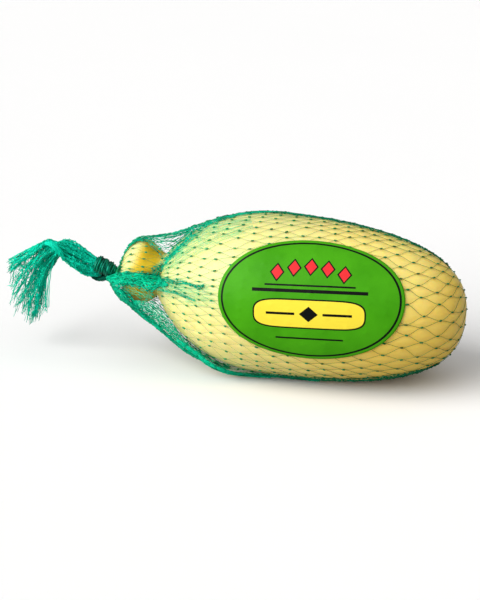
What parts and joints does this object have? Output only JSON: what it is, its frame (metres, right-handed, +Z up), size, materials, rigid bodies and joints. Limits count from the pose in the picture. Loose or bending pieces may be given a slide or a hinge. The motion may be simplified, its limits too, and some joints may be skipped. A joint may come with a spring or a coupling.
{
  "type": "netted scamorza cheese",
  "caption": "Egg-shaped pale yellow scamorza lying on its side in a knotted green net, tied at the neck with a frayed net tail, with an oval green paper label.",
  "frame": {"origin": "middle of the small flat spot under the belly that the cheese rests on, on the ground plane", "axes": "+X along the length of the cheese towards its round end, +Z up, and -Y is the side with the label"},
  "size_m": [0.2187, 0.0763, 0.0751],
  "materials": {
    "cheese": "satin rind, slightly translucent",
    "net": "glossy green plastic filament",
    "tie": "glossy dark green wound filament",
    "label": "coated printed paper"
  },
  "bodies": {
    "root": {"netted_cheese": "cheese", "label": "label", "tie": "tie", "net_tail": "net"}
  },
  "joints": []
}
